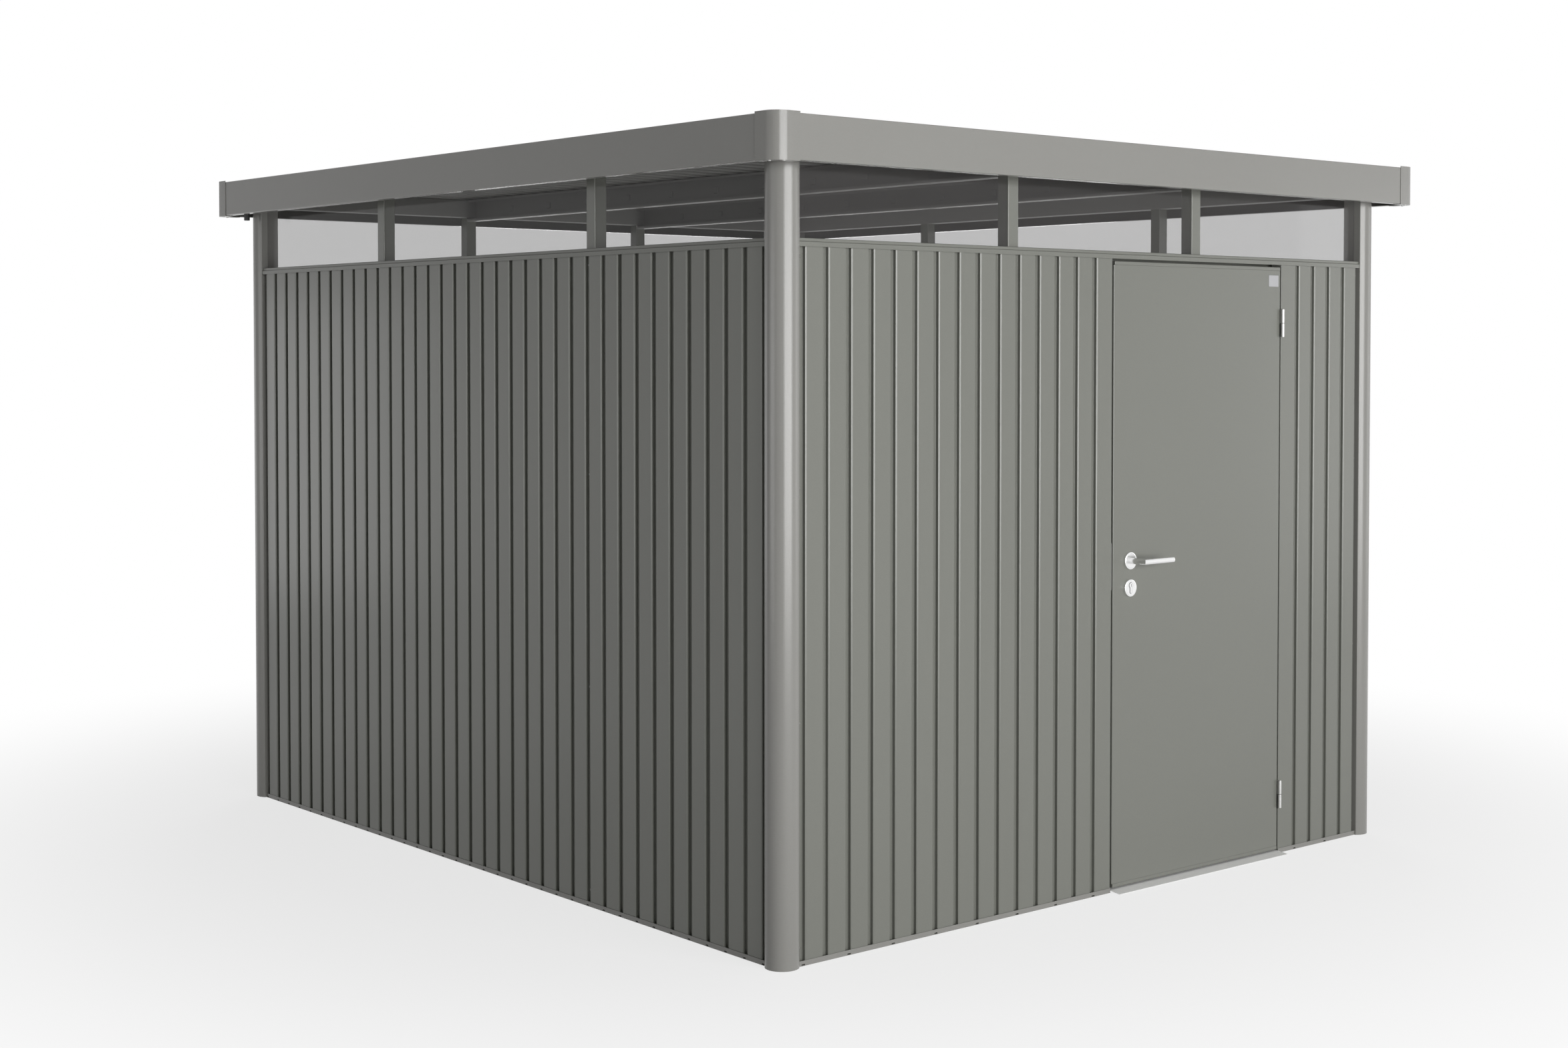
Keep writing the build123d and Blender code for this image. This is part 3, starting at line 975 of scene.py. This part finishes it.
def lever_shape(base, side):
    """Round bar that stands off the door and turns towards the hinges at a mitred corner."""
    tip = base + side * lever_standoff
    part = lever_rim * rim_share
    end = handle_place + lever_length
    points = []
    rings = []

    def ring(make):
        rings.append(list(range(len(points), len(points) + round_steps)))
        for k in range(round_steps):
            angle = 2 * math.pi * k / round_steps
            points.append(make(math.cos(angle), math.sin(angle)))

    neck = lever_radius
    ring(lambda c, s: (handle_place + neck * c, base, handle_height + neck * s))
    ring(lambda c, s: (handle_place + neck * c, tip - side * neck * c, handle_height + neck * s))
    for inset, back in ((0, lever_rim), (part, part), (lever_rim, 0)):
        small = neck - inset
        ring(lambda c, s: (end - back, tip - side * small * c, handle_height + small * s))
    faces = [tuple(rings[0]), tuple(rings[-1])]
    for first, second in zip(rings, rings[1:]):
        for k in range(round_steps):
            n = (k + 1) % round_steps
            faces.append((first[k], first[n], second[n], second[k]))
    return points, faces


front_base = leaf_front - rose_thickness - spindle_gap
back_base = leaf_back + rose_thickness + spindle_gap
spindle_ends = (front_base - spindle_grip, back_base + spindle_grip)
spindle_profile = [(0, spindle_ends[0])]
spindle_profile += [(spindle_radius, end) for end in spindle_ends]
spindle_profile.append((0, spindle_ends[1]))
spindle = turned_shape(spindle_profile, (handle_place, 0, handle_height), "d")
lever = [on_wall("front", one) for one in (lever_shape(front_base, -1), lever_shape(back_base, 1), spindle)]
piece("levers", lever, bright_steel, "handle", ["door_lever"])


# Rivets in the grooves beside the posts and at the seams, and screws under the corner covers
def dome(place, depth, level, radius, height):
    """Low round head that stands out of a wall."""
    profile = [(0, head_sink), (radius, head_sink)]
    for k in range(dome_steps + 1):
        angle = math.pi / 2 * k / dome_steps
        profile.append((radius * math.cos(angle), -height * math.sin(angle)))
    profile[-1] = (0, -height)
    return turned_shape(profile, (place, depth, level), "d")


rivets = []
for name in walls:
    groove = front_groove if name == "front" else bay
    seams = left_seams + right_seams if name == "front" else (0, *window_bays[name], bays[name])
    for index in seams:
        for level in rivet_levels:
            place = groove(index) + (rivet_shift if index == bays[name] else -rivet_shift)
            rivets.append(on_wall(name, dome(place, floor_depth, level, rivet_radius, rivet_height)))
piece("rivets", rivets, zinc, "shed")

screws = []
for name in walls:
    for place, depth in ((screw_near, screw_far), (screw_far, screw_near)):
        low = fascia_low - cap_sheet
        profile = [
            (0, low + head_sink),
            (screw_radius, low + head_sink),
            (screw_radius, low - screw_height * screw_flank_share),
            (screw_radius * screw_crown_share, low - screw_height),
            (0, low - screw_height),
        ]
        screws.append(on_wall(name, turned_shape(profile, (place, depth, 0), "z")))
piece("cover_screws", screws, zinc, "shed")

# Studio: floor, world, lamps and camera
floor_half = 30
floor_signs = ((-1, -1), (1, -1), (1, 1), (-1, 1))
floor_colour = (0.90, 0.90, 0.90)
fade_start = 1.6
fade_end = 4.2
fade_low = 0.72
white_colour = (1, 1, 1, 1)
ambient = 0.05
camera_place = (-4.87502, -5.78066, 1.61059)
camera_way = Vector((0.643051, 0.765282, -0.028806))
camera_sensor = 36
camera_lens = 50.25
camera_shift = (-0.0011, -0.0716)


def combined(tree, operation, first, second):
    """Two values joined by an operation."""
    node = tree.nodes.new("ShaderNodeMath")
    node.operation = operation
    tree.links.new(first, node.inputs[0])
    tree.links.new(second, node.inputs[1])
    return node.outputs["Value"]


def seen_white(tree):
    """One for rays from the camera, from mirrors and through clear sheets, else nought."""
    path = tree.nodes.new("ShaderNodeLightPath")
    direct = combined(tree, "MAXIMUM", path.outputs["Is Camera Ray"], path.outputs["Is Glossy Ray"])
    return combined(tree, "MAXIMUM", direct, path.outputs["Is Transmission Ray"])


def blended(tree, weight, first, second, output):
    """A blend of two shaders, carried to the output."""
    node = tree.nodes.new("ShaderNodeMixShader")
    tree.links.new(weight, node.inputs[0])
    tree.links.new(first, node.inputs[1])
    tree.links.new(second, node.inputs[2])
    tree.links.new(node.outputs["Shader"], tree.nodes[output].inputs["Surface"])


def floor_material():
    """Pale near the shed, where its shadow shows, and fading to white far from it."""
    made, tree, shader, spots = new_material("floor_pale")
    shader.inputs["Roughness"].default_value = 0.9
    shader.inputs["Specular IOR Level"].default_value = 0.0
    speckle = spread(tree, noise(tree, spots, 40, 2), 0.995, 1.005)
    tree.links.new(tinted(tree, floor_colour, speckle), shader.inputs["Base Color"])
    glow = tree.nodes.new("ShaderNodeEmission")
    glow.inputs["Color"].default_value = white_colour
    reach = tree.nodes.new("ShaderNodeVectorMath")
    reach.operation = "LENGTH"
    tree.links.new(spots, reach.inputs[0])
    fade = tree.nodes.new("ShaderNodeMapRange")
    fade.interpolation_type = "SMOOTHSTEP"
    fade.inputs["From Min"].default_value = fade_start
    fade.inputs["From Max"].default_value = fade_end
    fade.inputs["To Min"].default_value = fade_low
    tree.links.new(reach.outputs["Value"], fade.inputs["Value"])
    weight = combined(tree, "MULTIPLY", fade.outputs["Result"], seen_white(tree))
    blended(tree, weight, shader.outputs["BSDF"], glow.outputs["Emission"], "Material Output")
    return made


floor_mesh = bpy.data.meshes.new("floor")
floor_mesh.from_pydata([(a * floor_half, b * floor_half, 0) for a, b in floor_signs], [], [(0, 1, 2, 3)])
floor_mesh.materials.append(floor_material())
floor = bpy.data.objects.new("floor", floor_mesh)
bpy.context.collection.objects.link(floor)


def studio_world():
    """White where it is seen, a soft ambient light elsewhere."""
    made = bpy.data.worlds.new("studio")
    made.use_nodes = True
    tree = made.node_tree
    dim = tree.nodes["Background"]
    white = tree.nodes.new("ShaderNodeBackground")
    for node, strength in ((dim, ambient), (white, 1)):
        node.inputs["Color"].default_value = white_colour
        node.inputs["Strength"].default_value = strength
    shaders = (dim.outputs["Background"], white.outputs["Background"])
    blended(tree, seen_white(tree), *shaders, "World Output")
    return made


bpy.context.scene.world = studio_world()


def softbox(name, azimuth, distance, height, width, tall, radiance, aim=1.1):
    """Rectangular light at an azimuth around the shed, turned towards its middle."""
    data = bpy.data.lights.new(name, "AREA")
    data.shape = "RECTANGLE"
    data.size = width
    data.size_y = tall
    data.energy = radiance * math.pi * width * tall
    made = bpy.data.objects.new(name, data)
    angle = math.radians(azimuth)
    made.location = (distance * math.cos(angle), distance * math.sin(angle), height)
    way = Vector((0, 0, aim)) - made.location
    made.rotation_euler = way.to_track_quat("-Z", "Y").to_euler()
    made.visible_camera = False
    bpy.context.collection.objects.link(made)


softbox("key", azimuth=-96, distance=9.0, height=1.75, width=7.4, tall=3.3, radiance=7.6, aim=0.9)
softbox("left", azimuth=173.7, distance=9.05, height=1.2, width=4.6, tall=2.4, radiance=2.0, aim=1.2)
softbox("front_right", azimuth=-33, distance=9.0, height=1.4, width=2.4, tall=2.6, radiance=1.2)
softbox("back_left", azimuth=119, distance=5.9, height=1.1, width=2.0, tall=1.6, radiance=0.9)
softbox("back_right", azimuth=50, distance=9.0, height=2.2, width=5.0, tall=3.0, radiance=5.0)
softbox("overhead", azimuth=-90, distance=0.5, height=7.5, width=7.0, tall=7.0, radiance=0.7, aim=0)
softbox("inside", azimuth=0, distance=0.01, height=0.25, width=2.0, tall=2.4, radiance=1.2, aim=2.0)

camera_data = bpy.data.cameras.new("camera")
camera_data.sensor_width = camera_sensor
camera_data.lens = camera_lens
camera_data.shift_x, camera_data.shift_y = camera_shift
camera = bpy.data.objects.new("camera", camera_data)
camera.location = camera_place
camera.rotation_euler = camera_way.to_track_quat("-Z", "Y").to_euler()
bpy.context.collection.objects.link(camera)
bpy.context.scene.camera = camera
bpy.context.scene.view_settings.view_transform = "Standard"
